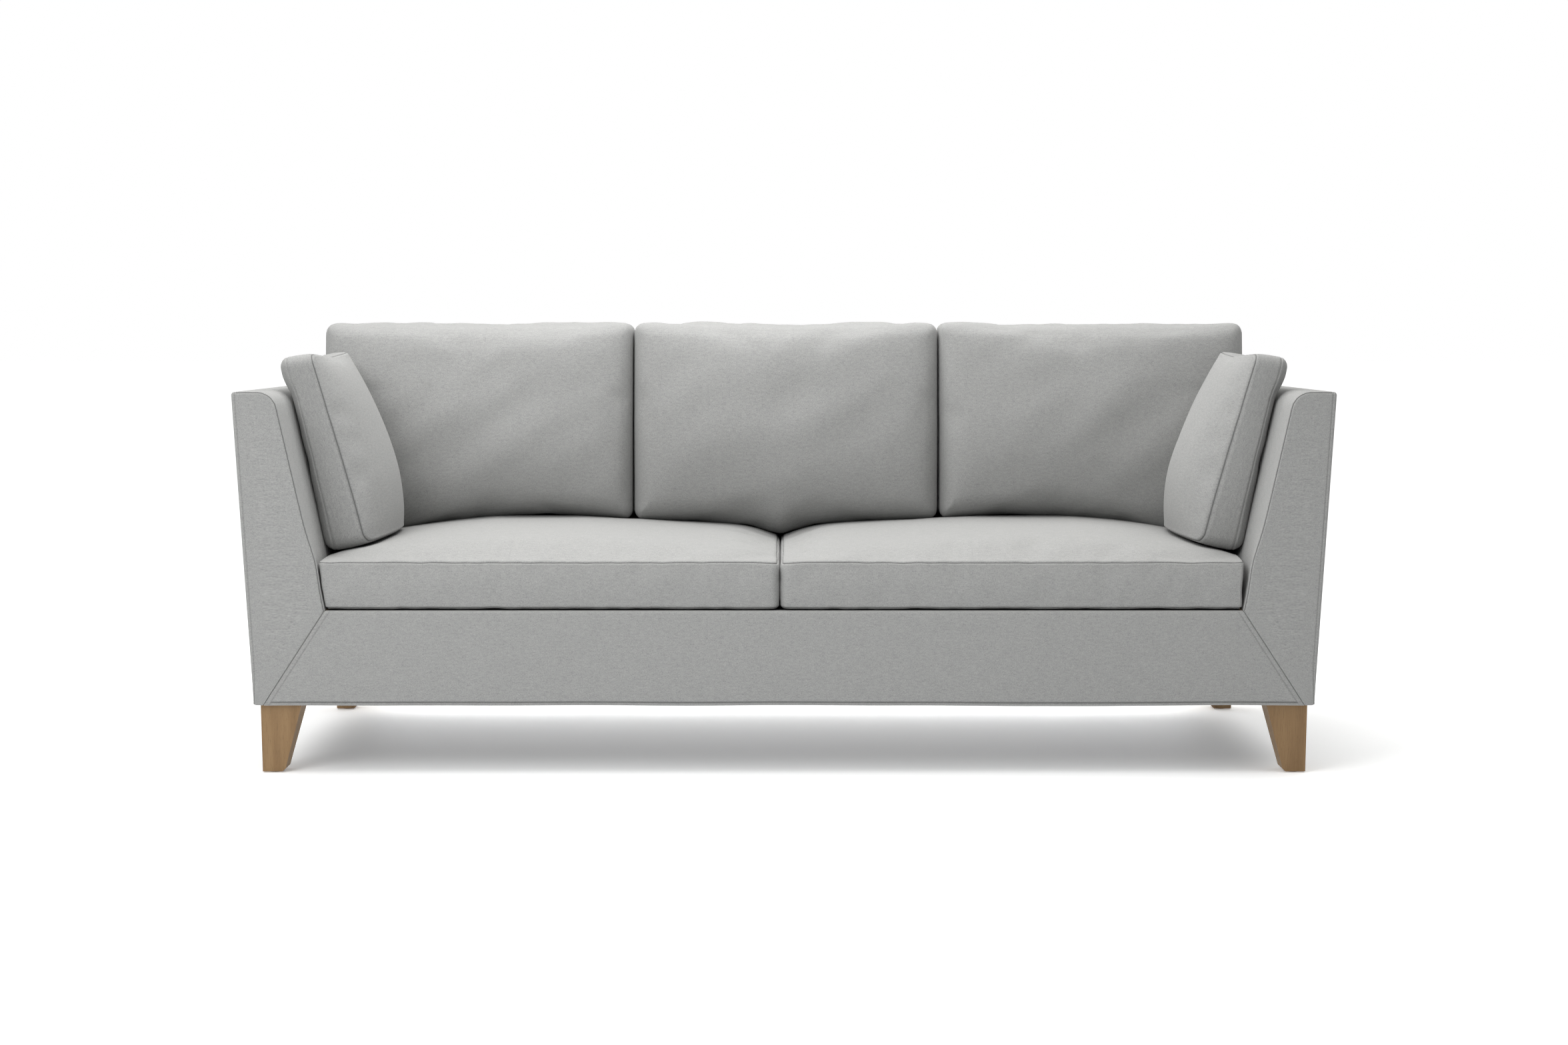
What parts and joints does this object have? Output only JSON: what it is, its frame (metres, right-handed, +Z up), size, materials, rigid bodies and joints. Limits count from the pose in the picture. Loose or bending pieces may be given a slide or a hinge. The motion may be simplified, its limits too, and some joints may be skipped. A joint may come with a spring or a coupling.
{
  "type": "sofa with wooden legs",
  "caption": "Three-seat sofa with flared padded arms, loose seat, back and side cushions, and tapered wooden legs.",
  "frame": {"origin": "on the floor under the middle of the sofa's outline", "axes": "+X across the seat to the sitter's left, which is the viewer's right from the front; +Y from the front to the rear; +Z up"},
  "size_m": [2.11, 0.88, 0.867],
  "materials": {
    "upholstery_fabric": "light grey heathered plain weave",
    "leg_wood": "satin oiled hardwood",
    "frame_timber": "planed softwood",
    "frame_board": "plywood and hardboard",
    "foam": "cut polyurethane foam",
    "padding": "polyester wadding on felt",
    "webbing": "woven elastic band",
    "dust_cloth": "black non-woven cloth",
    "spring_steel": "oiled spring wire",
    "clip_steel": "pressed steel",
    "hardware_steel": "zinc-plated steel",
    "glide_plastic": "hard plastic"
  },
  "bodies": {
    "frame": {"back_board": "frame_board", "back_bottom_rail": "frame_timber", "back_cover": "upholstery_fabric", "back_padding": "padding", "back_stiles": "frame_timber", "back_top_rail": "frame_timber", "back_webbing": "webbing", "base_centre_rail": "frame_timber", "base_front_rail": "frame_timber", "base_left_rail": "frame_timber", "base_rear_rail": "frame_timber", "base_right_rail": "frame_timber", "corner_blocks": "frame_timber", "dust_cover": "dust_cloth", "frame_bolts": "hardware_steel", "frame_nuts": "hardware_steel", "front_rail_cover": "upholstery_fabric", "front_rail_padding": "padding", "left_arm_bottom_rail": "frame_timber", "left_arm_cover": "upholstery_fabric", "left_arm_front_panel": "frame_board", "left_arm_inner_board": "frame_board", "left_arm_outer_board": "frame_board", "left_arm_padding": "padding", "left_arm_rear_panel": "frame_board", "left_arm_side_rail": "frame_timber", "left_arm_top_rail": "frame_timber", "leg_front_left": "leg_wood", "leg_front_right": "leg_wood", "leg_glides": "glide_plastic", "leg_hanger_bolts": "hardware_steel", "leg_rear_left": "leg_wood", "leg_rear_right": "leg_wood", "leg_tee_nuts": "hardware_steel", "right_arm_bottom_rail": "frame_timber", "right_arm_cover": "upholstery_fabric", "right_arm_front_panel": "frame_board", "right_arm_inner_board": "frame_board", "right_arm_outer_board": "frame_board", "right_arm_padding": "padding", "right_arm_rear_panel": "frame_board", "right_arm_side_rail": "frame_timber", "right_arm_top_rail": "frame_timber", "seat_deck_pad": "padding", "seat_springs": "spring_steel", "spring_clips": "clip_steel"},
    "seat_cushion_left": {"seat_cushion_left_cover": "upholstery_fabric", "seat_cushion_left_core": "foam"},
    "seat_cushion_right": {"seat_cushion_right_cover": "upholstery_fabric", "seat_cushion_right_core": "foam"},
    "back_cushion_left": {"back_cushion_left_cover": "upholstery_fabric", "back_cushion_left_core": "foam"},
    "back_cushion_centre": {"back_cushion_centre_cover": "upholstery_fabric", "back_cushion_centre_core": "foam"},
    "back_cushion_right": {"back_cushion_right_cover": "upholstery_fabric", "back_cushion_right_core": "foam"},
    "side_cushion_left": {"side_cushion_left_cover": "upholstery_fabric", "side_cushion_left_core": "foam"},
    "side_cushion_right": {"side_cushion_right_cover": "upholstery_fabric", "side_cushion_right_core": "foam"}
  },
  "joints": [
    {"name": "seat_cushion_left_slide", "type": "slide", "parent": "frame", "child": "seat_cushion_left", "axis": [0, -1, 0], "range_m": [0, 0.75]},
    {"name": "seat_cushion_right_slide", "type": "slide", "parent": "frame", "child": "seat_cushion_right", "axis": [0, -1, 0], "range_m": [0, 0.75]},
    {"name": "back_cushion_left_lift", "type": "slide", "parent": "frame", "child": "back_cushion_left", "axis": [0, 0, 1], "range_m": [0, 0.5]},
    {"name": "back_cushion_centre_lift", "type": "slide", "parent": "frame", "child": "back_cushion_centre", "axis": [0, 0, 1], "range_m": [0, 0.5]},
    {"name": "back_cushion_right_lift", "type": "slide", "parent": "frame", "child": "back_cushion_right", "axis": [0, 0, 1], "range_m": [0, 0.5]},
    {"name": "side_cushion_left_lift", "type": "slide", "parent": "frame", "child": "side_cushion_left", "axis": [0, 0, 1], "range_m": [0, 0.5]},
    {"name": "side_cushion_right_lift", "type": "slide", "parent": "frame", "child": "side_cushion_right", "axis": [0, 0, 1], "range_m": [0, 0.5]}
  ]
}
